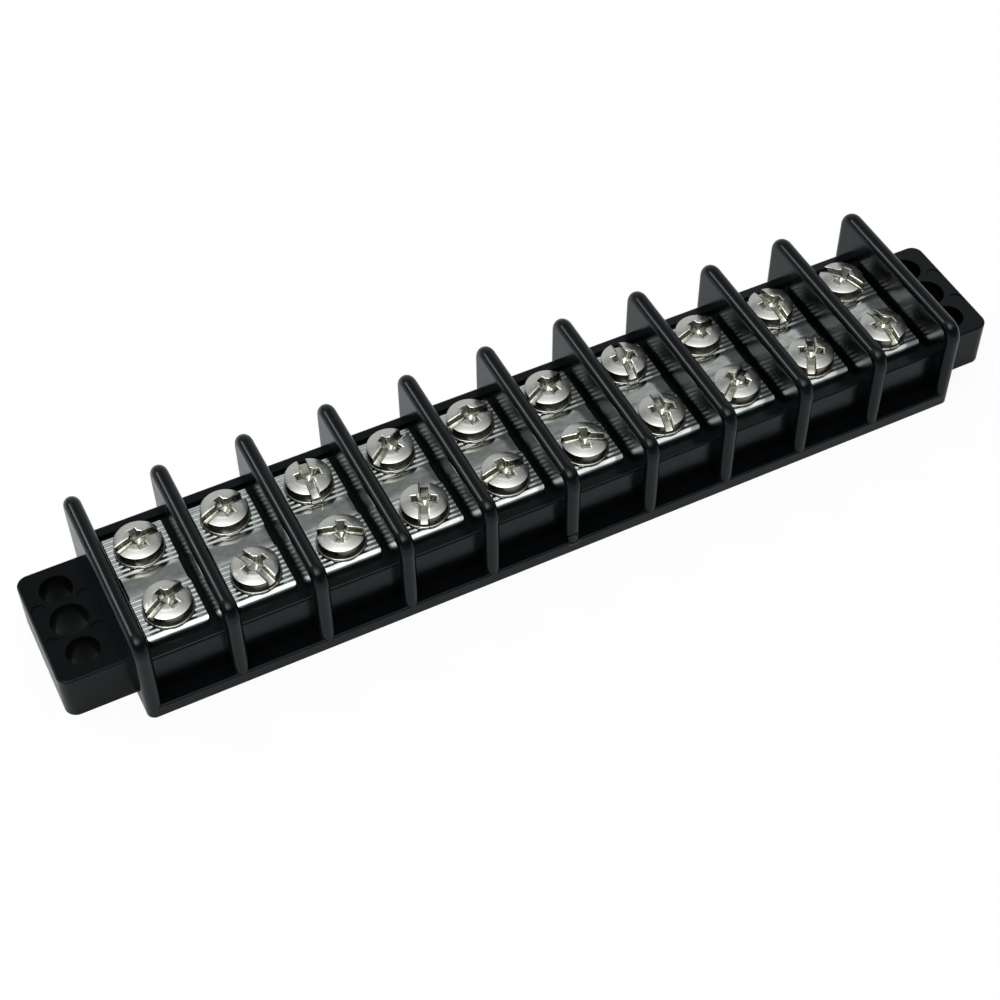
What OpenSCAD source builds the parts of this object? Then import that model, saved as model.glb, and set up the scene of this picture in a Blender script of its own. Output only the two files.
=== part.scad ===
// Barrier terminal strip: one moulded housing, a plate across each pole and
// two combination-drive binding screws on every plate.
// X runs along the row, -Y is the front, Z is up.
// The origin is the middle of the underside.

/* [Row] */
// Number of poles in the row
poles = 10; // [2:1:14]
// Distance from one pole to the next
pole_pitch = 14.3; // [13.6:0.1:20]

/* [Housing base] */
// Depth of the housing from front to rear
housing_depth = 34; // [32:0.5:50]
// Height of the lip along the foot of the housing
lip_h = 2.3; // [1.5:0.1:4]
// Rounding of the lip's upper edge
lip_edge_r = 0.3; // [0.1:0.05:0.6]
// Depth of the raised core from front to rear
core_depth = 28; // [26:0.5:30]
// Height of the core's ledges above the underside
core_h = 10.1; // [9.5:0.1:12]
// Rounding of the ledges' outer edges
core_edge_r = 0.45; // [0.1:0.05:0.8]
// How deep the seat for the plates lies below the ledges
seat_drop = 0.6; // [0.3:0.1:0.8]
// Free space between a plate's end and the edge of its seat
seat_end_gap = 1.05; // [0.5:0.05:1.2]

/* [Barriers] */
// Height of the barriers above the underside
barrier_h = 17.8; // [16.5:0.1:24]
// Thickness of a barrier, whose edges are fully round
barrier_t = 2.7; // [2:0.1:3]
// Corner radius of a barrier seen from the side
barrier_corner_r = 3; // [3:0.1:4.5]

/* [Mounting ears] */
// Reach of an ear, from the middle of the end barrier
ear_reach = 12.25; // [11.5:0.05:20]
// Width of an ear from front to rear
ear_width = 22.4; // [20:0.1:26]
// Height of an ear
ear_h = 8.6; // [4:0.1:9]
// Corner radius of an ear seen from above
ear_corner_r = 2; // [1:0.1:3]
// Rounding of an ear's upper edge
ear_edge_r = 0.3; // [0.1:0.05:0.6]
// From the middle of the end barrier to the line of ear holes
ear_hole_offset = 6.9; // [6.5:0.05:7.2]
// Distance between neighbouring holes of one ear
ear_hole_spacing = 6.5; // [6:0.05:7]
// Diameter of the outer ear holes
outer_hole_d = 5.3; // [4:0.1:5.5]
// Diameter of the middle ear hole
middle_hole_d = 6; // [5:0.1:6.5]
// Diameter of an ejector mark
mark_d = 2.6; // [1.5:0.1:2.8]
// Depth of an ejector mark
mark_depth = 0.15; // [0.05:0.05:0.3]
// From the middle hole to a mark, along the row
mark_offset_x = 3.7; // [3.6:0.05:3.9]
// From the middle hole to a mark, front to rear
mark_offset_y = 3.45; // [3.2:0.05:3.6]

/* [Terminal plates] */
// Length of a plate from front to rear
plate_length = 22.1; // [21:0.1:23.5]
// Width of a plate
plate_width = 9.8; // [9:0.1:10.5]
// Thickness of a plate
plate_t = 1.1; // [0.8:0.05:1.6]
// Corner radius of a plate seen from above
plate_corner_r = 0.9; // [0.4:0.1:1.5]
// Rounding along the top of a plate's ends
plate_end_r = 0.45; // [0.2:0.05:0.6]
// Length of the plain band across the middle of a plate
plain_band = 4.2; // [3:0.1:6]
// Least length of the plain strip at each end of a plate
plain_strip = 0.6; // [0.5:0.05:1.2]
// How far each side is drawn in beside the plain band
waist = 0.2; // [0.05:0.05:0.3]
// Distance from one grip ridge to the next
ridge_pitch = 0.92; // [0.8:0.02:1.4]
// Rise of the grip ridges above the plain band
ridge_rise = 0.12; // [0.05:0.01:0.2]
// Depth of the grooves between the ridges, below the plain band
groove_depth = 0.2; // [0.1:0.01:0.3]
// Outer diameter of a drawn collar under a plate
collar_d = 6; // [5.4:0.1:6.6]
// Length of a drawn collar
collar_h = 1; // [0.6:0.1:1.4]

/* [Screws] */
// Distance between the front and the rear screw of a pole
screw_spacing = 12.9; // [12:0.1:13.2]
// Diameter of the screws' thread
thread_d = 4.17; // [3.5:0.01:4.5]
// Length of a screw under its head
screw_length = 7.9; // [6:0.1:8]
// Chamfer at a screw's tip
tip_chamfer = 0.6; // [0.3:0.1:1]
// Diameter of the head at its bearing rim
head_d = 8.1; // [7.5:0.1:9]
// Height of the bearing rim
head_rim_h = 0.35; // [0.2:0.05:0.6]
// Diameter of the head where its dome starts
dome_d = 7.66; // [7:0.02:8]
// Height of the head's side, up to the dome
head_side_h = 2.1; // [1.6:0.1:2.6]
// Rise of the dome above the side
dome_rise = 0.7; // [0.4:0.05:1.2]
// Width of the slot
slot_w = 1.2; // [0.8:0.05:1.4]
// Depth of the slot from the top of the dome
slot_depth = 1.7; // [1.2:0.1:2]
// Width across the cross recess at the top of the dome
recess_d = 4.8; // [4:0.1:5.2]
// Width of one wing of the cross recess
recess_w = 1.2; // [0.8:0.05:1.4]
// Depth of the cross recess from the top of the dome
recess_depth = 2.2; // [1.8:0.1:2.4]
// Width of the cross recess at its floor
recess_floor_d = 1.8; // [1.2:0.1:2.4]
// Direction of each front screw's slot, from the first pole on
front_slots = [25, -70, -25, 65, 5, -20, 80, 35, 60, -90];
// Direction of each rear screw's slot, from the first pole on
rear_slots = [10, 15, 85, 30, 5, 20, 85, 10, -85, -60];

/* [Fits] */
// Radial clearance of a screw in its plate
thread_clearance = 0.05; // [0.02:0.01:0.09]
// Clearance between a plate and its seat, and a head and its plate
seat_clearance = 0.05; // [0.02:0.01:0.1]
// Clearance round and under a collar
collar_clearance = 0.1; // [0.05:0.05:0.2]
// Radial clearance of a screw in the housing
bore_clearance = 0.35; // [0.2:0.05:0.5]
// Free space below a screw's tip
tip_clearance = 0.6; // [0.3:0.1:1]

/* [Hidden] */
$fn = 96;
// Cuts run this far past the face they open
past = 1;
row_length = poles * pole_pitch;
seat_z = core_h - seat_drop;
seat_length = plate_length + 2 * seat_end_gap;
plate_z = seat_z + seat_clearance;
head_z = plate_z + plate_t + ridge_rise + seat_clearance;
tip_z = head_z - screw_length;
head_h = head_side_h + dome_rise;
dome_r = (pow(dome_d / 2, 2) + pow(dome_rise, 2)) / (2 * dome_rise);
// The ears run on under the core, past their own rounded corners
ear_tuck = ear_corner_r + ear_edge_r;
ear_hole_x = row_length / 2 + ear_hole_offset;
ridge_count = floor((plate_length / 2 - plain_band / 2 - plain_strip) / ridge_pitch);
// Shares of the ridge pitch: the groove's bottom, and both edges of the ridge's crest
groove_share = 0.3;
crest_start = 0.65;
crest_end = 0.8;

function pole_x(pole) = (pole - (poles + 1) / 2) * pole_pitch;
function slot_turn(turns, pole) = turns[(pole - 1) % len(turns)];

// ---- Outlines ----

// Rectangle about the origin with round corners
module round_rect(size_x, size_y, r) {
    square([size_x - 2 * r, size_y], center = true);
    square([size_x, size_y - 2 * r], center = true);
    for (side_x = [-1, 1], side_y = [-1, 1])
        translate([side_x * (size_x / 2 - r), side_y * (size_y / 2 - r)]) circle(r);
}

// Rectangle that stands on the X axis, with round upper corners
module round_top(width, height, r) {
    translate([-width / 2, 0]) square([width, height - r]);
    translate([r - width / 2, 0]) square([width - 2 * r, height]);
    for (side = [-1, 1])
        translate([side * (width / 2 - r), height - r]) circle(r);
}

// Upper half of a disc
module half_disc(r) {
    intersection() {
        circle(r);
        translate([-r, 0]) square([2 * r, r]);
    }
}

// Extrusion along X of an outline drawn with Y to the right and Z up
module along_x(start, end) {
    translate([start, 0, 0]) rotate([90, 0, 90]) linear_extrude(end - start) children();
}

// Extrusion along Y, about the origin, of an outline drawn with X to the right and Z up
module along_y(length) {
    translate([0, length / 2, 0]) rotate([90, 0, 0]) linear_extrude(length) children();
}

// ---- Housing ----

// Section through the lip and the core, with the seat for the plates
module block_section() {
    difference() {
        union() {
            round_top(housing_depth, lip_h, lip_edge_r);
            round_top(core_depth, core_h, core_edge_r);
        }
        translate([-seat_length / 2, seat_z]) square([seat_length, seat_drop + past]);
    }
}

// One barrier: round front and rear edges, a round ridge and round corners between them
module barrier() {
    r = barrier_t / 2;
    foot_h = barrier_h - barrier_corner_r;
    ridge_length = housing_depth - 2 * barrier_corner_r;
    linear_extrude(foot_h) {
        square([barrier_t, housing_depth - barrier_t], center = true);
        for (side = [-1, 1]) translate([0, side * (housing_depth / 2 - r)]) circle(r);
    }
    translate([0, 0, foot_h]) {
        along_y(ridge_length) {
            translate([-r, 0]) square([barrier_t, barrier_corner_r - r]);
            translate([0, barrier_corner_r - r]) circle(r);
        }
        for (side = [0, 1])
            mirror([0, side, 0]) translate([0, ridge_length / 2, 0]) barrier_corner(r);
    }
}

// Quarter of a disc with a round rim, from the ridge down to the vertical edge
module barrier_corner(r) {
    rotate([90, 0, 90]) rotate_extrude(angle = 90) {
        translate([0, -r]) square([barrier_corner_r - r, barrier_t]);
        translate([barrier_corner_r - r, 0]) circle(r);
    }
}

// Solid mounting ear with round upright corners and a softened upper edge
module ear() {
    size_x = ear_reach + ear_tuck;
    straight_x = size_x - 2 * ear_corner_r;
    straight_y = ear_width - 2 * ear_corner_r;
    translate([-ear_reach + size_x / 2, 0, 0]) {
        linear_extrude(ear_h - ear_edge_r) round_rect(size_x, ear_width, ear_corner_r);
        translate([0, 0, ear_h - ear_edge_r]) {
            along_x(-straight_x / 2, straight_x / 2) ear_edge(ear_width);
            along_y(straight_y) ear_edge(size_x);
            for (turn = [0 : 3])
                translate([
                    (turn == 0 || turn == 3 ? 1 : -1) * straight_x / 2,
                    (turn < 2 ? 1 : -1) * straight_y / 2
                ])
                    rotate(90 * turn) ear_corner();
        }
    }
}

// Section through the ear's softened upper edge
module ear_edge(width) {
    translate([ear_edge_r - width / 2, 0]) square([width - 2 * ear_edge_r, ear_edge_r]);
    for (side = [-1, 1])
        translate([side * (width / 2 - ear_edge_r), 0]) half_disc(ear_edge_r);
}

// The same edge carried round an upright corner
module ear_corner() {
    rotate_extrude(angle = 90) {
        square([ear_corner_r - ear_edge_r, ear_edge_r]);
        translate([ear_corner_r - ear_edge_r, 0]) intersection() {
            circle(ear_edge_r);
            square(ear_edge_r);
        }
    }
}

// Three through holes in a line, and the ejector marks round the middle one
module ear_cuts() {
    for (step = [-1 : 1])
        translate([0, step * ear_hole_spacing, -past])
            cylinder(d = step == 0 ? middle_hole_d : outer_hole_d, h = ear_h + 2 * past);
    for (side_x = [-1, 1], side_y = [-1, 1])
        translate([side_x * mark_offset_x, side_y * mark_offset_y, ear_h - mark_depth])
            cylinder(d = mark_d, h = mark_depth + past);
}

// Blind hole under one screw, with the pocket for the plate's collar
module screw_well() {
    well_floor = tip_z - tip_clearance;
    pocket_h = collar_h + collar_clearance;
    translate([0, 0, well_floor])
        cylinder(d = thread_d + 2 * bore_clearance, h = seat_z - well_floor + past);
    translate([0, 0, seat_z - pocket_h])
        cylinder(d = collar_d + 2 * collar_clearance, h = pocket_h + past);
}

module housing() {
    color([0.09, 0.10, 0.11]) difference() {
        union() {
            along_x(-row_length / 2, row_length / 2) block_section();
            for (step = [0 : poles])
                translate([-row_length / 2 + step * pole_pitch, 0, 0]) barrier();
            for (side = [0, 1])
                mirror([side, 0, 0]) translate([-row_length / 2, 0, 0]) ear();
        }
        for (side = [-1, 1])
            translate([side * ear_hole_x, 0, 0]) ear_cuts();
        for (pole = [1 : poles], side = [-1, 1])
            translate([pole_x(pole), side * screw_spacing / 2, 0]) screw_well();
    }
}

// ---- Terminal plates ----

// One grip ridge that starts at y: a groove, then the ridge with its flat crest
function ridge_points(y) = [
    [y, plate_t],
    [y + groove_share * ridge_pitch, plate_t - groove_depth],
    [y + crest_start * ridge_pitch, plate_t + ridge_rise],
    [y + crest_end * ridge_pitch, plate_t + ridge_rise]
];

// Upper edge of the grip zone, from the plain band outwards on one side
function grip_line(side) = [
    for (ridge = [0 : ridge_count - 1], point = ridge_points(plain_band / 2 + ridge * ridge_pitch))
        [side * point[0], point[1]],
    [side * (plain_band / 2 + ridge_count * ridge_pitch), plate_t]
];

function reversed(points) = [for (i = [len(points) - 1 : -1 : 0]) points[i]];

// Side view of a plate: ridged grip zones between the plain band and the round ends
module plate_section() {
    straight = plate_length - 2 * plate_end_r;
    polygon(concat(
        [[-straight / 2, 0], [-straight / 2, plate_t]],
        reversed(grip_line(-1)),
        grip_line(1),
        [[straight / 2, plate_t], [straight / 2, 0]]
    ));
    translate([-plate_length / 2, 0]) square([plate_length, plate_t - plate_end_r]);
    for (side = [-1, 1])
        translate([side * straight / 2, plate_t - plate_end_r]) circle(plate_end_r);
}

// Plan of a plate, drawn in beside the plain band
module plate_plan() {
    band = plain_band / 2;
    difference() {
        round_rect(plate_width, plate_length, plate_corner_r);
        for (side = [-1, 1])
            polygon([
                [side * (plate_width / 2 - waist), -band],
                [side * (plate_width / 2 - waist), band],
                [side * (plate_width / 2 + waist), band + 2 * waist],
                [side * (plate_width / 2 + waist), -band - 2 * waist]
            ]);
    }
}

module terminal_plate(pole) {
    color([0.78, 0.79, 0.78]) translate([pole_x(pole), 0, plate_z]) difference() {
        union() {
            intersection() {
                along_x(-plate_width / 2, plate_width / 2) plate_section();
                linear_extrude(plate_t + ridge_rise) plate_plan();
            }
            for (side = [-1, 1])
                translate([0, side * screw_spacing / 2, -collar_h]) cylinder(d = collar_d, h = collar_h);
        }
        for (side = [-1, 1])
            translate([0, side * screw_spacing / 2, -collar_h - past])
                cylinder(d = thread_d + 2 * thread_clearance, h = collar_h + plate_t + 2 * past);
    }
}

// ---- Screws ----

// Half section of a screw, from the axis outwards
module screw_section() {
    thread_r = thread_d / 2;
    polygon([
        [0, -screw_length],
        [thread_r - tip_chamfer, -screw_length],
        [thread_r, -screw_length + tip_chamfer],
        [thread_r, 0],
        [head_d / 2, 0],
        [head_d / 2, head_rim_h],
        [dome_d / 2, head_rim_h + (head_d - dome_d) / 2],
        [dome_d / 2, head_side_h],
        [0, head_side_h]
    ]);
    intersection() {
        translate([0, head_h - dome_r]) circle(dome_r, $fn = 2 * $fn);
        translate([0, head_side_h]) square([dome_d / 2, dome_rise]);
    }
}

// Slot across the whole head, with a cross recess in line with it
module drive_cut() {
    translate([-head_d / 2 - past, -slot_w / 2, head_h - slot_depth])
        cube([head_d + 2 * past, slot_w, slot_depth + past]);
    intersection() {
        translate([0, 0, head_h - recess_depth]) linear_extrude(recess_depth + past) {
            square([recess_d, recess_w], center = true);
            square([recess_w, recess_d], center = true);
        }
        translate([0, 0, head_h - recess_depth])
            cylinder(d1 = recess_floor_d, d2 = recess_d, h = recess_depth);
    }
}

module screw(pole, side, turn) {
    color([0.72, 0.71, 0.69])
        translate([pole_x(pole), side * screw_spacing / 2, head_z])
            rotate(turn) difference() {
                rotate_extrude() screw_section();
                drive_cut();
            }
}

housing();
for (pole = [1 : poles])
    terminal_plate(pole);
for (pole = [1 : poles])
    screw(pole, -1, slot_turn(front_slots, pole));
for (pole = [1 : poles])
    screw(pole, 1, slot_turn(rear_slots, pole));
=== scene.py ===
import math
import bpy
import bmesh
from mathutils import Matrix, Vector


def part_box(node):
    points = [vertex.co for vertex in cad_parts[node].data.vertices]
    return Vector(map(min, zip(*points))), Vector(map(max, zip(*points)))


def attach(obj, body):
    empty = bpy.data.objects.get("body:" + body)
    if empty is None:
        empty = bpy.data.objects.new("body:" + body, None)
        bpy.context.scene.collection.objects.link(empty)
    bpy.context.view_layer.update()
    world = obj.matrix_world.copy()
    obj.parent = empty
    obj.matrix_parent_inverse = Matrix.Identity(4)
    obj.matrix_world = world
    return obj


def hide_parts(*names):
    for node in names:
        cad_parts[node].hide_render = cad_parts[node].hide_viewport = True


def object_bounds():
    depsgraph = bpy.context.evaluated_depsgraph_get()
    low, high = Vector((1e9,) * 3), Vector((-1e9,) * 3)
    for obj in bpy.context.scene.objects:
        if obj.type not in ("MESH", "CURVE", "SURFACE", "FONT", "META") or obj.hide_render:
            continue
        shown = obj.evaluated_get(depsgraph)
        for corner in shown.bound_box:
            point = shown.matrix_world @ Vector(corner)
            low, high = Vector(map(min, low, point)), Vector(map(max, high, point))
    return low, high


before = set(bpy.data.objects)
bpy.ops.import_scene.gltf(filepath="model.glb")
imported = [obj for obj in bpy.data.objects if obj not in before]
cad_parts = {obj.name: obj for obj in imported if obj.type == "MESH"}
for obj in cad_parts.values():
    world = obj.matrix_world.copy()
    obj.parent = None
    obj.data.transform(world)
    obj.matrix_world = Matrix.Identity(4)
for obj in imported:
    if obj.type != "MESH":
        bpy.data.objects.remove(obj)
cadLow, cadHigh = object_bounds()
poleCount = sum(name.startswith("terminal_plate_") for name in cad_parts)
mm = 0.001
mergeDistance = 0.002 * mm          # vertices closer than this become one
fineMergeDistance = 0.0005 * mm
near = 0.01 * mm                    # places closer than this count as the same
print("frame loaded,", poleCount, "poles")


# Small helpers

def deselectAll():
    if bpy.context.mode != "OBJECT":
        bpy.ops.object.mode_set(mode="OBJECT")
    bpy.ops.object.select_all(action="DESELECT")


def activate(piece):
    deselectAll()
    piece.select_set(True)
    bpy.context.view_layer.objects.active = piece


def applyModifier(piece, kind, **values):
    activate(piece)
    modifier = piece.modifiers.new(kind.title(), kind)
    for key, value in values.items():
        setattr(modifier, key, value)
    bpy.ops.object.modifier_apply(modifier=modifier.name)


def settle(piece):
    # leaves the object at the origin, with its place in its mesh
    activate(piece)
    bpy.ops.object.transform_apply(location=True, rotation=True, scale=True)


def cleanNormals(piece, distance=mergeDistance):
    activate(piece)
    bpy.ops.object.mode_set(mode="EDIT")
    bpy.ops.mesh.select_all(action="SELECT")
    bpy.ops.mesh.remove_doubles(threshold=distance)
    bpy.ops.mesh.normals_make_consistent(inside=False)
    bpy.ops.object.mode_set(mode="OBJECT")


def smoothByAngle(piece, degrees):
    activate(piece)
    bpy.ops.object.shade_smooth_by_angle(angle=math.radians(degrees))


def combine(piece, other, operation):
    # operation is DIFFERENCE, UNION or INTERSECT, and uses up the other object
    applyModifier(piece, "BOOLEAN", object=other, operation=operation, solver="EXACT")
    bpy.data.objects.remove(other)


def pick(piece, wanted):
    # selects the vertices that wanted(place) accepts, and the edges and faces between them
    shape = bmesh.from_edit_mesh(piece.data)
    for face in shape.faces:
        face.select_set(False)
    for corner in shape.verts:
        corner.select_set(wanted(corner.co))
    shape.select_flush(True)
    bmesh.update_edit_mesh(piece.data)


def editVertices(piece):
    activate(piece)
    bpy.ops.object.mode_set(mode="EDIT")
    bpy.ops.mesh.select_mode(type="VERT")


def growRings(startRadius, startZ, rings):
    # carries the selected cap on through (radius, height) rings, each extruded and then scaled
    radius, z = startRadius, startZ
    for nextRadius, nextZ in rings:
        bpy.ops.mesh.extrude_region_move(TRANSFORM_OT_translate={"value": (0, 0, nextZ - z)})
        factor = nextRadius / radius
        bpy.ops.transform.resize(value=(factor, factor, 1))
        radius, z = nextRadius, nextZ


def arcRings(centreRadius, centreZ, size, fromDegrees, toDegrees, steps):
    # points of a round edge in the half section, 0 degrees pointing outwards
    turns = [math.radians(fromDegrees + (toDegrees - fromDegrees) * i / steps) for i in range(steps + 1)]
    return [(centreRadius + size * math.cos(turn), centreZ + size * math.sin(turn)) for turn in turns]


def turnedSolid(segments, radius, z, rings):
    # a round solid about the Z axis, grown from a disc at height z through the rings
    bpy.ops.mesh.primitive_circle_add(vertices=segments, radius=radius, fill_type="NGON",
                                      location=(0, 0, z))
    solid = bpy.context.object
    settle(solid)
    editVertices(solid)
    bpy.ops.mesh.select_all(action="SELECT")
    growRings(radius, z, rings)
    bpy.ops.object.mode_set(mode="OBJECT")
    cleanNormals(solid)
    return solid


def placeCopy(pattern, name, place, turn=0):
    # a copy with its own mesh, set down at its place and turned about its own axis
    piece = pattern.copy()
    piece.data = pattern.data.copy()
    piece.name = name
    bpy.context.scene.collection.objects.link(piece)
    piece.rotation_euler = (0, 0, math.radians(turn))
    piece.location = place
    settle(piece)
    return piece


# Camera

cameraView = {
    "azimuth": -26.0,       # degrees from straight in front, towards the left end
    "elevation": 50.17,
    "roll": -0.65,
    "distance": 318.8 * mm,
    "nearest": 10 * mm,     # nothing closer than this is drawn
    "lens": 71.82,
    "aimShift": (-9.24 * mm, -8.68 * mm, 0),    # from the middle of the whole object
}


def placeCamera(view):
    middle = (cadLow + cadHigh) / 2 + Vector(view["aimShift"])
    turn, lift = math.radians(view["azimuth"]), math.radians(view["elevation"])
    outward = Vector((math.sin(turn) * math.cos(lift), -math.cos(turn) * math.cos(lift), math.sin(lift)))
    data = bpy.data.cameras.new("camera")
    data.lens = view["lens"]
    data.clip_start = view["nearest"]
    camera = bpy.data.objects.new("camera", data)
    bpy.context.scene.collection.objects.link(camera)
    facing = outward.to_track_quat("Z", "Y").to_matrix().to_4x4()
    roll = Matrix.Rotation(math.radians(view["roll"]), 4, "Z")
    camera.matrix_world = Matrix.Translation(middle + outward * view["distance"]) @ facing @ roll
    bpy.context.scene.camera = camera


placeCamera(cameraView)
print("camera placed")


# Floor, world and lamps

studio = {
    "floorSize": 6.0,
    "floorColor": (0.74, 0.75, 0.76),
    "floorShade": 0.13,       # how much of the floor's look is lit, and so takes the shadow
    "floorShadeMirrored": 0.95,
    "floorWhite": 1.05,
    # levels of the world's light
    "dim": 0.21,              # the band between the lamp and the backdrop
    "front": 0.07,
    "frontLow": 0.18,
    "backdrop": 0.60,
    "backdropLeft": 0.3,      # the share of the backdrop's level that is left at its left end
    "right": 0.55,
    "lamp": 4.8,
    "coolWhite": (0.97, 1, 1),
    # where each one starts and is full, on a ceiling one unit above the object
    "dimStart": (-0.75, -0.20),
    "frontLowStart": (-1.3, -2.4),
    "backdropStart": (0.85, 1.35),
    "backdropLeftEnd": (-0.75, -0.30),
    "rightStart": (0.38, 0.58),
    "rightFrontEnd": (0.40, 0.70),
    # the lamp's near edges and the fades beyond them, across and in depth, and its far edges
    "lampEdge": (-0.20, -0.16),
    "lampFade": (0.42, 0.24),
    "lampFar": (-1.00, -0.70),
    "lampFarSoft": 0.35,
    "lowestHeight": 0.05,     # directions below this height count as this high
}
softboxes = {
    # centre and size in metres, radiance 1 shows as white
    "rearStrip": {"centre": (-0.49, 0.50, 0.52), "size": (0.14, 0.32), "radiance": 7.0},
}


def newMaterial(name):
    material = bpy.data.materials.new(name)
    material.use_nodes = True
    material.node_tree.nodes.clear()
    return material, material.node_tree.nodes, material.node_tree.links


def calculate(tree, operation, first, second=0.0):
    # one Math node; either side may be a number or another node's output
    node = tree.nodes.new("ShaderNodeMath")
    node.operation = operation
    for socket, value in zip(node.inputs, (first, second)):
        if isinstance(value, (int, float)):
            socket.default_value = value
        else:
            tree.links.new(value, socket)
    return node.outputs[0]


def softStep(tree, value, start, end, low=0.0, high=1.0):
    node = tree.nodes.new("ShaderNodeMapRange")
    node.interpolation_type = "SMOOTHSTEP"
    for name, number in (("From Min", start), ("From Max", end), ("To Min", low), ("To Max", high)):
        node.inputs[name].default_value = number
    tree.links.new(value, node.inputs["Value"])
    return node.outputs[0]


def makeFloor(settings):
    bpy.ops.mesh.primitive_plane_add(size=settings["floorSize"], location=(0, 0, cadLow.z))
    floor = bpy.context.object
    floor.name = "floor"
    settle(floor)
    material, nodes, links = newMaterial("paleFloor")
    tree = material.node_tree
    output = nodes.new("ShaderNodeOutputMaterial")
    lit = nodes.new("ShaderNodeBsdfDiffuse")
    lit.inputs["Color"].default_value = (*settings["floorColor"], 1)
    white = nodes.new("ShaderNodeEmission")
    white.inputs["Color"].default_value = (1, 1, 1, 1)
    white.inputs["Strength"].default_value = settings["floorWhite"]
    path = nodes.new("ShaderNodeLightPath")
    mirrored = calculate(tree, "MAXIMUM", path.outputs["Is Glossy Ray"], path.outputs["Is Transmission Ray"])
    seen = calculate(tree, "MULTIPLY", path.outputs["Is Camera Ray"], 1 - settings["floorShade"])
    reflected = calculate(tree, "MULTIPLY", mirrored, 1 - settings["floorShadeMirrored"])
    mix = nodes.new("ShaderNodeMixShader")
    links.new(calculate(tree, "MAXIMUM", seen, reflected), mix.inputs["Fac"])
    links.new(lit.outputs[0], mix.inputs[1])
    links.new(white.outputs[0], mix.inputs[2])
    links.new(mix.outputs[0], output.inputs["Surface"])
    floor.data.materials.append(material)


def lampFalloff(tree, across, edge, fade, far, farSoft):
    # full from the soft far edge to the near one, with a slow fade beyond that
    past = calculate(tree, "MAXIMUM", calculate(tree, "SUBTRACT", across, edge), 0.0)
    slow = calculate(tree, "EXPONENT", calculate(tree, "DIVIDE", past, -fade))
    return calculate(tree, "MULTIPLY", slow, softStep(tree, across, far, far + farSoft))


def makeWorld(settings):
    world = bpy.data.worlds.new("studio")
    world.use_nodes = True
    bpy.context.scene.world = world
    tree = world.node_tree
    tree.nodes.clear()
    output = tree.nodes.new("ShaderNodeOutputWorld")
    background = tree.nodes.new("ShaderNodeBackground")
    tree.links.new(background.outputs[0], output.inputs["Surface"])
    place = tree.nodes.new("ShaderNodeTexCoord")
    axes = tree.nodes.new("ShaderNodeSeparateXYZ")
    tree.links.new(place.outputs["Generated"], axes.inputs[0])
    # where each direction would meet a ceiling one unit up
    height = calculate(tree, "MAXIMUM", axes.outputs["Z"], settings["lowestHeight"])
    ceilingX = calculate(tree, "DIVIDE", axes.outputs["X"], height)
    ceilingY = calculate(tree, "DIVIDE", axes.outputs["Y"], height)
    shares = [
        lampFalloff(tree, across, settings["lampEdge"][i], settings["lampFade"][i], settings["lampFar"][i],
                    settings["lampFarSoft"])
        for i, across in enumerate((ceilingX, ceilingY))]
    lamp = calculate(tree, "MULTIPLY", calculate(tree, "MULTIPLY", shares[0], shares[1]), settings["lamp"])
    dim = settings["dim"]
    backdrop = softStep(tree, ceilingY, *settings["backdropStart"], 0.0, settings["backdrop"] - dim)
    leftEnd = softStep(tree, ceilingX, *settings["backdropLeftEnd"], settings["backdropLeft"], 1.0)
    backdrop = calculate(tree, "MULTIPLY", backdrop, leftEnd)
    right = softStep(tree, ceilingX, *settings["rightStart"], 0.0, settings["right"] - dim)
    right = calculate(tree, "MULTIPLY", right, softStep(tree, ceilingY, *settings["rightFrontEnd"]))
    plain = calculate(tree, "MAXIMUM", backdrop, right)
    plain = calculate(tree, "ADD", plain, dim - settings["front"])
    plain = calculate(tree, "MULTIPLY", plain, softStep(tree, ceilingY, *settings["dimStart"]))
    plain = calculate(tree, "ADD", plain, settings["front"])
    lowFront = softStep(tree, ceilingY, *settings["frontLowStart"], 0.0, settings["frontLow"])
    total = calculate(tree, "ADD", calculate(tree, "ADD", plain, lowFront), lamp)
    path = tree.nodes.new("ShaderNodeLightPath")
    camera = path.outputs["Is Camera Ray"]
    level = calculate(tree, "MULTIPLY", total, calculate(tree, "SUBTRACT", 1.0, camera))
    level = calculate(tree, "ADD", level, camera)
    tree.links.new(level, background.inputs["Strength"])
    # slightly cool light, but plain white where the camera sees past the floor
    color = tree.nodes.new("ShaderNodeMix")
    color.data_type = "RGBA"
    color.inputs["A"].default_value = (*settings["coolWhite"], 1)
    color.inputs["B"].default_value = (1, 1, 1, 1)
    tree.links.new(camera, color.inputs["Factor"])
    tree.links.new(color.outputs["Result"], background.inputs["Color"])


def addSoftbox(name, settings):
    data = bpy.data.lights.new(name, "AREA")
    data.shape = "RECTANGLE"
    data.size, data.size_y = settings["size"]
    data.energy = settings["radiance"] * math.pi * data.size * data.size_y
    lamp = bpy.data.objects.new(name, data)
    bpy.context.scene.collection.objects.link(lamp)
    centre = Vector(settings["centre"])
    lamp.matrix_world = Matrix.Translation(centre) @ centre.to_track_quat("Z", "Y").to_matrix().to_4x4()


makeFloor(studio)
makeWorld(studio)
for lampName, lampSettings in softboxes.items():
    addSoftbox(lampName, lampSettings)
bpy.context.scene.view_settings.view_transform = "Standard"
print("studio ready")


# Materials

def principled(name, color, metallic, roughness):
    material, nodes, links = newMaterial(name)
    output = nodes.new("ShaderNodeOutputMaterial")
    shader = nodes.new("ShaderNodeBsdfPrincipled")
    shader.inputs["Base Color"].default_value = (*color, 1)
    shader.inputs["Metallic"].default_value = metallic
    shader.inputs["Roughness"].default_value = roughness
    links.new(shader.outputs[0], output.inputs["Surface"])
    return material, nodes, links, shader


noiseRange = (0.3, 0.7)     # nearly all of a noise texture lies between these


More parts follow.
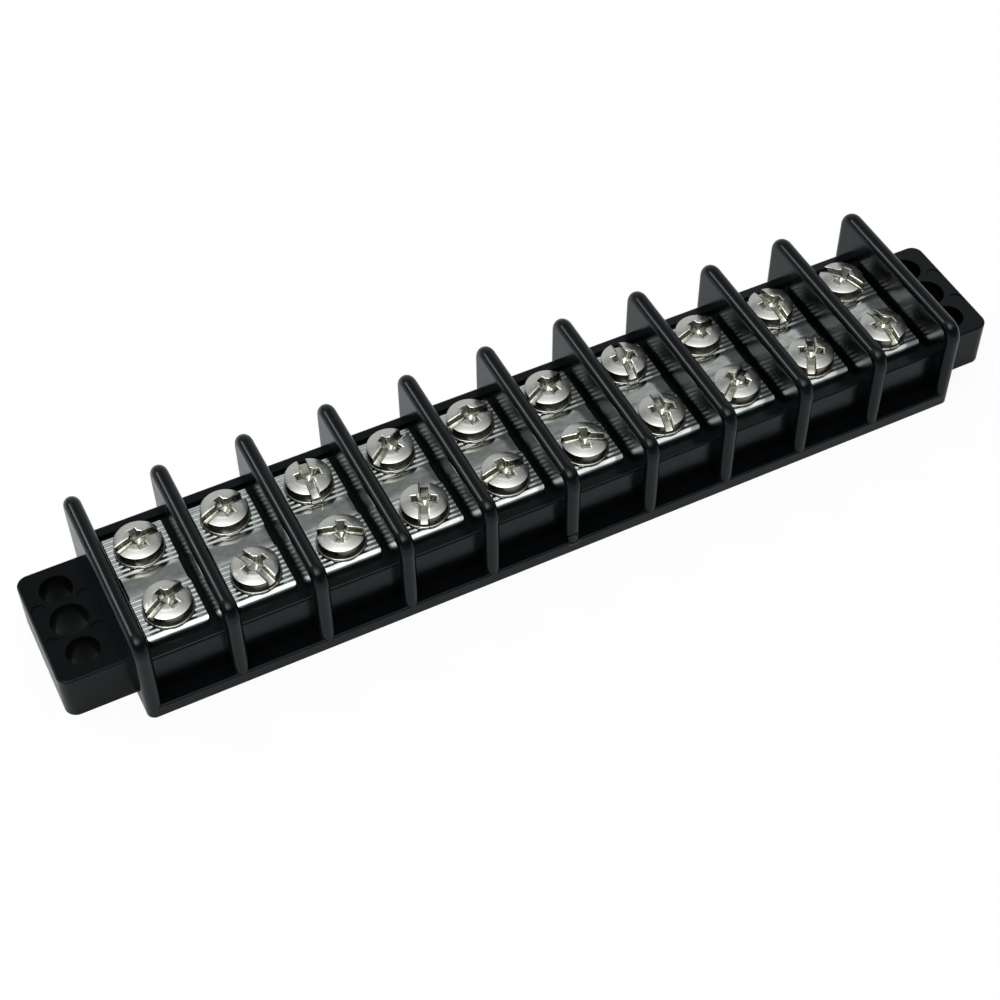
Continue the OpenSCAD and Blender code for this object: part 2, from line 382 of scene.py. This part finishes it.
def objectNoise(nodes, links, scale, detail, stretch=(1, 1, 1)):
    place = nodes.new("ShaderNodeTexCoord")
    mapping = nodes.new("ShaderNodeMapping")
    mapping.inputs["Scale"].default_value = stretch
    noise = nodes.new("ShaderNodeTexNoise")
    noise.inputs["Scale"].default_value = scale
    noise.inputs["Detail"].default_value = detail
    links.new(place.outputs["Object"], mapping.inputs["Vector"])
    links.new(mapping.outputs[0], noise.inputs["Vector"])
    return noise


def spread(nodes, links, source, low, high):
    # the noise drawn out between low and high
    ramp = nodes.new("ShaderNodeMapRange")
    ramp.inputs["From Min"].default_value, ramp.inputs["From Max"].default_value = noiseRange
    ramp.inputs["To Min"].default_value = low
    ramp.inputs["To Max"].default_value = high
    links.new(source, ramp.inputs["Value"])
    return ramp.outputs[0]


def addBump(nodes, links, shader, height, distance, under=None):
    # under is an earlier bump that this one lies on
    bump = nodes.new("ShaderNodeBump")
    bump.inputs["Distance"].default_value = distance
    links.new(height, bump.inputs["Height"])
    if under:
        links.new(under.outputs[0], bump.inputs["Normal"])
    links.new(bump.outputs[0], shader.inputs["Normal"])
    return bump


# the noises below are given by their scale, detail and, where there is a third value, stretch
plasticLook = {
    "color": (0.0015, 0.0019, 0.0026),
    "tint": (0.88, 0.98, 1.0),
    "roughLow": 0.19,
    "roughHigh": 0.25,
    "ior": 1.36,
    "bodyGloss": 0.5,
    "earGloss": 0.36,
    "bodyEnd": 72.9 * mm,       # from the middle of the strip to an ear
    "earFade": 0.1 * mm,
    "cloud": (260, 3),
    "skin": (900, 2),
    "skinDepth": 0.004 * mm,
}
gateMark = {
    "place": (0, cadLow.y, 2.9 * mm),
    "radius": 1.3 * mm,
    "rim": 0.45 * mm,
    "height": 0.35 * mm,
    "torn": (1900, 4),
}
tinLook = {
    "low": (0.47, 0.495, 0.48),
    "high": (0.72, 0.76, 0.74),
    "roughLow": 0.08,
    "roughHigh": 0.17,
    "cloud": (900, 6, (0.6, 1, 1)),
    "rolled": (1500, 4, (0.25, 1, 1)),
    "ripple": (1600, 3, (0.5, 1, 1)),
    "rippleDepth": 0.0034 * mm,
}
nickelLook = {"color": (0.68, 0.675, 0.63), "roughLow": 0.21, "roughHigh": 0.33}
# painted shade: a darker colour for the slot and the cross recess, slightly olive as thinner plating would
# be
recessShadeLook = {"color": (0.48, 0.47, 0.41), "roughLow": 0.16, "roughHigh": 0.28}
# painted reflection: a dark brown colour for the head's upright side, standing in for the dark surroundings
# it mirrors
sideShadeLook = {"color": (0.27, 0.245, 0.205), "roughLow": 0.24, "roughHigh": 0.36}
turningMap = {"name": "turning", "size": 10 * mm, "middle": 0.5}    # seen along the screw's axis
turningMarks = {
    "cloud": (800, 4),
    "grainDepth": 0.0022 * mm,
    "ringHeight": 0.25,         # this and the lip's height are in units of the grain's depth
    "lipHeight": 8.0,
    "rings": 210,               # radians of their wave for each unit of the turning map
    # the rest is in units of that map
    "raised": (0.17, 0.215, 0.27),      # start, crest and end of the lip round the recess
    "slotHalf": 0.071,
    "wingHalf": 0.066,
    "wingEnd": 0.208,
    "flare": 0.134,
    "edgeRun": 0.022,           # how far the rounded edge runs out from the slot and the recess
    "edgeHeight": 0.11 * mm,    # and, in metres, how high it rises
}


def gateRim(tree, mark):
    # the rough ring that the moulding gate leaves at the foot of the middle barrier
    place = tree.nodes.new("ShaderNodeTexCoord")
    reach = tree.nodes.new("ShaderNodeVectorMath")
    reach.operation = "DISTANCE"
    reach.inputs[1].default_value = mark["place"]
    tree.links.new(place.outputs["Object"], reach.inputs[0])
    torn = objectNoise(tree.nodes, tree.links, *mark["torn"])
    uneven = calculate(tree, "MULTIPLY", torn.outputs["Fac"], mark["rim"])
    away = calculate(tree, "ADD", reach.outputs["Value"], uneven)
    rise = softStep(tree, away, mark["radius"] - mark["rim"], mark["radius"])
    fall = softStep(tree, away, mark["radius"] + mark["rim"], mark["radius"])
    return calculate(tree, "MULTIPLY", rise, fall)


def mouldedPlastic(look, mark):
    material, nodes, links, shader = principled("blackPlastic", look["color"], 0, look["roughLow"])
    tree = material.node_tree
    shader.inputs["IOR"].default_value = look["ior"]
    shader.inputs["Specular Tint"].default_value = (*look["tint"], 1)
    cloud = objectNoise(nodes, links, *look["cloud"])
    links.new(spread(nodes, links, cloud.outputs["Fac"], look["roughLow"], look["roughHigh"]),
              shader.inputs["Roughness"])
    # the mounting ears are duller than the body between them
    place = nodes.new("ShaderNodeTexCoord")
    axes = nodes.new("ShaderNodeSeparateXYZ")
    links.new(place.outputs["Object"], axes.inputs[0])
    away = calculate(tree, "ABSOLUTE", axes.outputs["X"])
    bodyEnd = look["bodyEnd"]
    gloss = softStep(tree, away, bodyEnd, bodyEnd + look["earFade"], look["bodyGloss"], look["earGloss"])
    links.new(gloss, shader.inputs["Specular IOR Level"])
    skin = objectNoise(nodes, links, *look["skin"])
    fine = addBump(nodes, links, shader, skin.outputs["Fac"], look["skinDepth"])
    addBump(nodes, links, shader, gateRim(tree, mark), mark["height"], fine)
    return material


def brightTin(look):
    material, nodes, links, shader = principled("brightTin", look["high"], 1, look["roughLow"])
    # uneven plating: broad clouds with fine grain in them
    cloud = objectNoise(nodes, links, *look["cloud"])
    mix = nodes.new("ShaderNodeMix")
    mix.data_type = "RGBA"
    links.new(spread(nodes, links, cloud.outputs["Fac"], 0, 1), mix.inputs["Factor"])
    mix.inputs["A"].default_value = (*look["low"], 1)
    mix.inputs["B"].default_value = (*look["high"], 1)
    links.new(mix.outputs["Result"], shader.inputs["Base Color"])
    rolled = objectNoise(nodes, links, *look["rolled"])
    links.new(spread(nodes, links, rolled.outputs["Fac"], look["roughLow"], look["roughHigh"]),
              shader.inputs["Roughness"])
    ripple = objectNoise(nodes, links, *look["ripple"])
    addBump(nodes, links, shader, ripple.outputs["Fac"], look["rippleDepth"])
    return material


def edgeRounding(tree, place, away, marks):
    # rises from the outline of the slot and the recess to the plain dome
    spot = tree.nodes.new("ShaderNodeSeparateXYZ")
    tree.links.new(place, spot.inputs[0])
    along, across = [
        calculate(tree, "ABSOLUTE", calculate(tree, "SUBTRACT", spot.outputs[axis], turningMap["middle"]))
        for axis in ("X", "Y")]
    wing = calculate(tree, "MAXIMUM", calculate(tree, "SUBTRACT", along, marks["wingHalf"]),
                     calculate(tree, "SUBTRACT", across, marks["wingEnd"]))
    outside = calculate(tree, "MINIMUM", wing, calculate(tree, "SUBTRACT", across, marks["slotHalf"]))
    outside = calculate(tree, "MINIMUM", outside, calculate(tree, "SUBTRACT", away, marks["flare"]))
    return softStep(tree, outside, 0, marks["edgeRun"])


def brushedNickel(name, look, marks):
    material, nodes, links, shader = principled(name, look["color"], 1, look["roughLow"])
    tree = material.node_tree
    cloud = objectNoise(nodes, links, *marks["cloud"])
    links.new(spread(nodes, links, cloud.outputs["Fac"], look["roughLow"], look["roughHigh"]),
              shader.inputs["Roughness"])
    # faint rings left by turning, round the screw's own axis
    place = nodes.new("ShaderNodeUVMap")
    place.uv_map = turningMap["name"]
    reach = nodes.new("ShaderNodeVectorMath")
    reach.operation = "DISTANCE"
    reach.inputs[1].default_value = (turningMap["middle"], turningMap["middle"], 0)
    links.new(place.outputs[0], reach.inputs[0])
    away = reach.outputs["Value"]
    rings = calculate(tree, "SINE", calculate(tree, "MULTIPLY", away, marks["rings"]))
    rings = calculate(tree, "MULTIPLY", rings, marks["ringHeight"])
    height = calculate(tree, "ADD", rings, cloud.outputs["Fac"])
    # metal raised round the recess by the punch
    inner, crest, outer = marks["raised"]
    lip = calculate(tree, "MULTIPLY", softStep(tree, away, inner, crest), softStep(tree, away, outer, crest))
    height = calculate(tree, "ADD", height, calculate(tree, "MULTIPLY", lip, marks["lipHeight"]))
    fine = addBump(nodes, links, shader, height, marks["grainDepth"])
    rounding = edgeRounding(tree, place.outputs[0], away, marks)
    addBump(nodes, links, shader, rounding, marks["edgeHeight"], fine)
    return material


plastic = mouldedPlastic(plasticLook, gateMark)
tin = brightTin(tinLook)
nickel = brushedNickel("nickelPlate", nickelLook, turningMarks)
# painted shade in the colour of the slot and the cross recess
recessShadedMetal = brushedNickel("recessPaintedShade", recessShadeLook, turningMarks)
# painted dark reflection in the colour of the head's upright side
sideShadedMetal = brushedNickel("sidePaintedReflection", sideShadeLook, turningMarks)


def dressNode(name, material):
    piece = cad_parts[name]
    for slot in piece.material_slots:
        slot.material = material


dressNode("housing", plastic)
for pole in range(1, poleCount + 1):
    dressNode(f"terminal_plate_{pole}", tin)
    dressNode(f"screw_front_{pole}", nickel)
    dressNode(f"screw_rear_{pole}", nickel)
print("materials set")


# Screws

screwShape = {
    "segments": 96,
    # shank and thread
    "length": 7.9 * mm,             # under the head
    "shankInHead": 0.3 * mm,
    "crestRadius": 2.085 * mm,
    "threadDepth": 0.43 * mm,
    "threadInCore": 0.04 * mm,
    "threadPitch": 0.794 * mm,
    "threadFoot": 0.84,             # the ridge's width at its foot, as a share of the pitch
    "threadCrest": 0.14,            # and at its crest, as a share of the foot
    "threadSteps": 36,
    "threadEnd": 0.05 * mm,         # below the head
    "tipChamfer": 0.6 * mm,
    # head
    "headRadius": 4.05 * mm,
    "rimHeight": 0.36 * mm,
    "rimRound": 0.16 * mm,
    "rimSteps": 6,
    "rimFoot": 0.05 * mm,           # the small chamfer under the rim
    "sideRadius": 3.83 * mm,
    "sideHeight": 2.1 * mm,
    "sideFoot": (0.03 * mm, 0.04 * mm),     # run and rise of the fillet on the rim
    "shoulder": (0.03 * mm, 0.05 * mm),     # run and drop of the dome's edge
    "domeRise": 0.7 * mm,
    "domeSteps": 12,
    "edgeBevel": 0.15 * mm,
    "edgeBevelSteps": 3,
    "edgeBevelAngle": 35,
    "smoothAngle": 32,
    # slot
    "slotWidth": 1.42 * mm,
    "slotDepth": 1.20 * mm,
    "slotRound": 0.22 * mm,
    "slotRoundSteps": 4,
    "slotStations": (0.25, 0.5, 0.75, 1.05),    # where its floor bends, as shares of the side's radius
    # cross recess
    "wingWidth": 1.30 * mm,
    "wingFloorWidth": 0.85 * mm,
    "recessRadius": 2.12 * mm,
    "recessFloorRadius": 1.15 * mm,
    "recessDepth": 1.5 * mm,
    "coneSegments": 32,
    "coneRadius": 1.36 * mm,
    "coneFloorRadius": 0.92 * mm,
    "coneDepth": 1.42 * mm,
    "pointDepth": 0.55 * mm,        # of the shallow point in the recess's floor
    "pointRadius": 0.12 * mm,
    # where the painted shade goes: what is coloured darker than the dome
    "innerShare": 0.97,             # of the side's radius
    "sunkDepth": 0.15 * mm,         # this far below the dome
    "sunkLowest": 0.3 * mm,         # nothing lower than this belongs to the recess
}
slotTurns = {
    # direction of each slot in degrees, from the first pole on
    "front": (25, -70, -25, 65, 5, -20, 80, 35, 60, -90),
    "rear": (10, 15, 85, 30, 5, 20, 85, 10, -85, -60),
}


def domeTop(shape):
    return shape["sideHeight"] + shape["domeRise"]


def domeRadius(shape):
    return (shape["sideRadius"] ** 2 + shape["domeRise"] ** 2) / (2 * shape["domeRise"])


def domeHeight(shape, radius):
    # height of the dome at this distance from the screw's axis
    sphere = domeRadius(shape)
    return domeTop(shape) - sphere + math.sqrt(max(sphere ** 2 - radius ** 2, 0))


def screwHead(shape):
    # from the underside up: rounded rim, side, and dome; the bottom cap lies at height 0
    core = shape["crestRadius"] - shape["threadDepth"]
    rim, side = shape["headRadius"], shape["sideRadius"]
    rimRound, rimTop, rimFoot = shape["rimRound"], shape["rimHeight"], shape["rimFoot"]
    footRun, footRise = shape["sideFoot"]
    shoulderRun, shoulderDrop = shape["shoulder"]
    rings = [(core * 1.001, 0), (rim - rimFoot, 0), (rim, rimFoot)]     # the first is a narrow start
    rings += arcRings(rim - rimRound, rimTop - rimRound, rimRound, 0, 90, shape["rimSteps"])
    rings += [(side + footRun, rimTop), (side, rimTop + footRise)]
    rings += [(side, shape["sideHeight"] - shoulderDrop)]
    for step in range(shape["domeSteps"]):
        radius = (side - shoulderRun) * (1 - step / shape["domeSteps"])
        rings.append((radius, domeHeight(shape, radius)))
    return turnedSolid(shape["segments"], core, 0, rings)


def slotCutter(shape):
    # a bar across the head, round along its lower edges, whose floor falls to both ends as the dome does
    floor = domeTop(shape) - shape["slotDepth"]
    halfLength, tall = 1.5 * shape["headRadius"], 2 * mm
    aboveFloor = floor + 0.1 * mm
    shortest = 0.5 * mm     # the long edges are longer than this, the cross edges have no run at all
    bpy.ops.mesh.primitive_cube_add(size=1, location=(0, 0, floor + tall / 2))
    slot = bpy.context.object
    slot.scale = (2 * halfLength, shape["slotWidth"], tall)
    settle(slot)
    editVertices(slot)
    stations = [shape["sideRadius"] * share for share in shape["slotStations"]]
    for side in (-1, 1):
        for station in stations:
            bpy.ops.mesh.select_all(action="SELECT")
            bpy.ops.mesh.bisect(plane_co=(side * station, 0, 0), plane_no=(1, 0, 0))
    for station in stations + [halfLength]:
        pick(slot, lambda place: abs(abs(place.x) - station) < near and place.z < aboveFloor)
        bpy.ops.transform.translate(value=(0, 0, -station ** 2 / (2 * domeRadius(shape))))
    bpy.ops.mesh.select_mode(type="EDGE")
    bar = bmesh.from_edit_mesh(slot.data)
    for edge in bar.edges:
        ends = [corner.co for corner in edge.verts]
        low = max(ends[0].z, ends[1].z) < aboveFloor
        edge.select_set(low and abs(ends[0].x - ends[1].x) > shortest)
    bmesh.update_edit_mesh(slot.data)
    bpy.ops.mesh.bevel(offset=shape["slotRound"], segments=shape["slotRoundSteps"])
    bpy.ops.object.mode_set(mode="OBJECT")
    cleanNormals(slot)
    return slot


def driveWings(shape, turn):
    # a bar with two opposite wings of the cross recess, narrower and shorter at its floor
    top, depth = domeTop(shape), shape["recessDepth"]
    above = 1 * mm          # how far it is carried on over the dome
    bpy.ops.mesh.primitive_cube_add(size=1, location=(0, 0, top - depth / 2))
    wings = bpy.context.object
    wings.scale = (2 * shape["recessRadius"], shape["wingWidth"], depth)
    settle(wings)
    editVertices(wings)
    pick(wings, lambda place: place.z < top - depth / 2)
    shorter = shape["recessFloorRadius"] / shape["recessRadius"]
    narrower = shape["wingFloorWidth"] / shape["wingWidth"]
    bpy.ops.transform.resize(value=(shorter, narrower, 1))
    pick(wings, lambda place: place.z > top - depth / 2)
    bpy.ops.mesh.extrude_region_move(TRANSFORM_OT_translate={"value": (0, 0, above)})
    bpy.ops.object.mode_set(mode="OBJECT")
    wings.rotation_euler = (0, 0, math.radians(turn))
    settle(wings)
    cleanNormals(wings)
    return wings


def driveCone(shape):
    # the flared middle of the cross recess, carried on over the dome, with a shallow point below
    top, floorRadius, depth = domeTop(shape), shape["coneFloorRadius"], shape["coneDepth"]
    above = 0.5 * mm
    slope = (shape["coneRadius"] - floorRadius) / depth
    reach = depth + above
    bpy.ops.mesh.primitive_cone_add(
        vertices=shape["coneSegments"], radius1=floorRadius, radius2=floorRadius + slope * reach,
        depth=reach, location=(0, 0, top - depth + reach / 2))
    cone = bpy.context.object
    settle(cone)
    editVertices(cone)
    pick(cone, lambda place: place.z < top - depth + near)
    growRings(floorRadius, 0, [(shape["pointRadius"], -shape["pointDepth"])])
    bpy.ops.object.mode_set(mode="OBJECT")
    cleanNormals(cone)
    return cone


def screwThread(shape):
    # one sharp ridge wound round the core, cut to the chamfered outline of the shank
    pitch, crest, length = shape["threadPitch"], shape["crestRadius"], shape["length"]
    root = crest - shape["threadDepth"] - shape["threadInCore"]
    middle = (root + crest) / 2
    bpy.ops.mesh.primitive_plane_add(size=1, location=(middle, 0, -length - pitch / 2),
                                     rotation=(math.radians(90), 0, 0))
    ridge = bpy.context.object
    ridge.scale = (crest - root, shape["threadFoot"] * pitch, 1)
    settle(ridge)
    editVertices(ridge)
    pick(ridge, lambda place: place.x > middle)
    bpy.ops.transform.resize(value=(1, 1, shape["threadCrest"]))
    bpy.ops.mesh.select_all(action="SELECT")
    bpy.ops.mesh.delete(type="ONLY_FACE")
    bpy.ops.object.mode_set(mode="OBJECT")
    steps, turns = shape["threadSteps"], math.floor(length / pitch) + 1
    applyModifier(ridge, "SCREW", steps=steps, render_steps=steps, iterations=turns, screw_offset=pitch,
                  use_normal_calculate=True)
    editVertices(ridge)
    bpy.ops.mesh.select_all(action="SELECT")
    bpy.ops.mesh.fill_holes(sides=4)
    bpy.ops.object.mode_set(mode="OBJECT")
    cleanNormals(ridge)
    tip, outside = crest - shape["tipChamfer"], crest * 1.01
    outline = turnedSolid(shape["segments"], tip, -length,
                          [(outside, -length + shape["tipChamfer"]), (outside, -shape["threadEnd"])])
    combine(ridge, outline, "INTERSECT")
    return ridge


def screwShank(shape):
    core = shape["crestRadius"] - shape["threadDepth"]
    tip = shape["crestRadius"] - shape["tipChamfer"]
    chamferTop = -shape["length"] + core - tip
    return turnedSolid(shape["segments"], tip, -shape["length"],
                       [(core, chamferTop), (core, shape["shankInHead"])])


def buildScrew(shape):
    head = screwHead(shape)
    combine(head, slotCutter(shape), "DIFFERENCE")
    for turn in (0, 90):
        combine(head, driveWings(shape, turn), "DIFFERENCE")
    combine(head, driveCone(shape), "DIFFERENCE")
    applyModifier(head, "BEVEL", width=shape["edgeBevel"], segments=shape["edgeBevelSteps"],
                  limit_method="ANGLE", angle_limit=math.radians(shape["edgeBevelAngle"]))
    combine(head, screwShank(shape), "UNION")
    combine(head, screwThread(shape), "UNION")
    cleanNormals(head, fineMergeDistance)
    smoothByAngle(head, shape["smoothAngle"])
    paintShadeByPlace(head, shape)
    mapTurning(head)
    return head


def paintShadeByPlace(screw, shape):
    # painted shade: the slot and the cross recess are coloured darker than the dome, with a slight olive
    # tone taken as thinner plating, and the head's upright side is coloured darker still as a painted dark
    # reflection
    screw.data.materials.clear()
    for material in (nickel, recessShadedMetal, sideShadedMetal):
        screw.data.materials.append(material)
    inside = shape["innerShare"] * shape["sideRadius"]
    for face in screw.data.polygons:
        z, radius = face.center.z, math.hypot(face.center.x, face.center.y)
        sunk = z > shape["sunkLowest"] and domeHeight(shape, radius) - z > shape["sunkDepth"]
        # faces sunk below the dome inside the side get the painted shade colour
        if radius < inside and sunk:
            face.material_index = 1
        # the upright side gets the painted dark reflection colour
        elif radius > inside and shape["rimHeight"] < z < shape["sideHeight"]:
            face.material_index = 2


def mapTurning(screw):
    # a plan of the head, seen along its axis, for the marks that turning and punching leave
    layers = screw.data.uv_layers
    plan = layers[0] if layers else layers.new()
    plan.name = turningMap["name"]
    size, middle = turningMap["size"], turningMap["middle"]
    for corner in screw.data.loops:
        place = screw.data.vertices[corner.vertex_index].co
        plan.data[corner.index].uv = (place.x / size + middle, place.y / size + middle)


def placeScrews(pattern, shape):
    for side in ("front", "rear"):
        turns = slotTurns[side]
        for pole in range(1, poleCount + 1):
            nodeName = f"screw_{side}_{pole}"
            low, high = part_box(nodeName)
            place = ((low.x + high.x) / 2, (low.y + high.y) / 2, low.z + shape["length"])
            turn = turns[(pole - 1) % len(turns)]
            screw = placeCopy(pattern, f"bindingScrew_{side}_{pole}", place, turn)
            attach(screw, nodeName)
            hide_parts(nodeName)
    bpy.data.objects.remove(pattern)


placeScrews(buildScrew(screwShape), screwShape)
print("screws placed")


# Terminal plates

plateShape = {
    "length": 22.1 * mm,
    "width": 9.8 * mm,
    "thickness": 1.1 * mm,
    "cornerRadius": 0.7 * mm,
    "cornerSteps": 8,
    "band": 4.2 * mm,
    "waist": 0.2 * mm,
    "ridgePitch": 0.92 * mm,
    "ridges": 9,
    "ridgeHeight": 0.050 * mm,      # from the plain surface to the crest, and as far down to the groove
    "rowsPerRidge": 12,
    "endRun": 1.1 * mm,             # the ends turn down over this length
    "endDrop": 0.46 * mm,
    "endRows": 14,
    "collarRadius": 3.0 * mm,
    "collarHeight": 1.0 * mm,
    "collarInPlate": 0.3 * mm,
    "boreRadius": 2.1 * mm,
    "roundSegments": 64,            # of a collar and a bore
    "screwSpacing": 12.9 * mm,
    "smoothAngle": 35,
}


def plateRise(shape, y):
    # height of the plate's upper surface over its plain band, at a distance y from the middle
    along = (abs(y) - shape["band"] / 2) / shape["ridgePitch"]
    rise = 0
    if 0 < along < shape["ridges"]:
        rise = -shape["ridgeHeight"] * math.sin(2 * math.pi * along)
    past = abs(y) - (shape["length"] / 2 - shape["endRun"])
    if past > 0:
        share = min(past / shape["endRun"], 1)
        rise = rise * (1 - share) - shape["endDrop"] * share ** 2
    return rise


def plateRows(shape):
    # places of the cross rows from front to rear, closer where the surface turns
    step = shape["ridgePitch"] / shape["rowsPerRidge"]
    half = [0.0, shape["band"] / 4]
    straight = shape["length"] / 2 - shape["endRun"]
    count = math.ceil((straight - shape["band"] / 2) / step)
    half += [shape["band"] / 2 + step * i for i in range(count)]
    half += [straight + shape["endRun"] * i / shape["endRows"] for i in range(shape["endRows"] + 1)]
    return [-y for y in reversed(half[1:])] + half


def plateOutline(shape):
    # the plan of a plate as a tall block: round corners and a waist beside the plain band
    low, tall = -3 * mm, 6 * mm
    halfBand, halfLength = shape["band"] / 2, shape["length"] / 2
    bpy.ops.mesh.primitive_cube_add(size=1, location=(0, 0, low + tall / 2))
    block = bpy.context.object
    block.scale = (shape["width"], shape["length"], tall)
    settle(block)
    editVertices(block)
    for y in (halfBand, halfBand + 2 * shape["waist"]):
        for side in (-1, 1):
            bpy.ops.mesh.select_all(action="SELECT")
            bpy.ops.mesh.bisect(plane_co=(0, side * y, 0), plane_no=(0, 1, 0))
    for side in (-1, 1):
        pick(block, lambda place: abs(place.y) < halfBand + near and place.x * side > 0)
        bpy.ops.transform.translate(value=(-side * shape["waist"], 0, 0))
    bpy.ops.object.mode_set(mode="OBJECT")
    editVertices(block)
    bpy.ops.mesh.select_mode(type="EDGE")
    plan = bmesh.from_edit_mesh(block.data)
    for edge in plan.edges:
        ends = [corner.co for corner in edge.verts]
        upright = abs(ends[0].z - ends[1].z) > tall / 2
        edge.select_set(upright and abs(ends[0].y) > halfLength - near)
    bmesh.update_edit_mesh(block.data)
    bpy.ops.mesh.bevel(offset=shape["cornerRadius"], segments=shape["cornerSteps"])
    bpy.ops.object.mode_set(mode="OBJECT")
    cleanNormals(block)
    return block


def uprightCylinder(shape, radius, low, high, y):
    bpy.ops.mesh.primitive_cylinder_add(vertices=shape["roundSegments"], radius=radius, depth=high - low,
                                        location=(0, y, (low + high) / 2))
    cylinder = bpy.context.object
    settle(cylinder)
    return cylinder


def buildPlate(shape):
    # the upper surface grows from its front edge, one row after the other, a little wider than the plan
    rows = [(y, plateRise(shape, y)) for y in plateRows(shape)]
    span = 1.02 * shape["width"]
    bpy.ops.mesh.primitive_plane_add(size=span)
    plate = bpy.context.object
    editVertices(plate)
    pick(plate, lambda place: place.y > 0)
    bpy.ops.mesh.delete(type="VERT")
    bpy.ops.mesh.select_all(action="SELECT")
    bpy.ops.transform.translate(value=(0, rows[0][0] + span / 2, rows[0][1]))
    for (y, z), (nextY, nextZ) in zip(rows, rows[1:]):
        bpy.ops.mesh.extrude_region_move(TRANSFORM_OT_translate={"value": (0, nextY - y, nextZ - z)})
    # then it grows down to a flat underside
    underside = -shape["thickness"]
    bpy.ops.mesh.select_all(action="SELECT")
    bpy.ops.mesh.normals_make_consistent(inside=False)
    bpy.ops.mesh.extrude_region_move(TRANSFORM_OT_translate={"value": (0, 0, underside)})
    bpy.ops.transform.resize(value=(1, 1, 0), center_override=(0, 0, underside))
    bpy.ops.object.mode_set(mode="OBJECT")
    cleanNormals(plate)
    combine(plate, plateOutline(shape), "INTERSECT")
    screwPlaces = [side * shape["screwSpacing"] / 2 for side in (-1, 1)]
    collarLow, collarHigh = underside - shape["collarHeight"], underside + shape["collarInPlate"]
    for y in screwPlaces:
        combine(plate, uprightCylinder(shape, shape["collarRadius"], collarLow, collarHigh, y), "UNION")
    for y in screwPlaces:
        combine(plate, uprightCylinder(shape, shape["boreRadius"], -4 * mm, 4 * mm, y), "DIFFERENCE")
    cleanNormals(plate, fineMergeDistance)
    smoothByAngle(plate, shape["smoothAngle"])
    plate.data.materials.clear()
    plate.data.materials.append(tin)
    return plate


def placePlates(pattern, shape):
    for pole in range(1, poleCount + 1):
        nodeName = f"terminal_plate_{pole}"
        low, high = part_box(nodeName)
        top = low.z + shape["collarHeight"] + shape["thickness"]
        plate = placeCopy(pattern, f"gripPlate_{pole}", ((low.x + high.x) / 2, (low.y + high.y) / 2, top))
        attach(plate, "housing")
        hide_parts(nodeName)
    bpy.data.objects.remove(pattern)


placePlates(buildPlate(plateShape), plateShape)
print("plates placed")
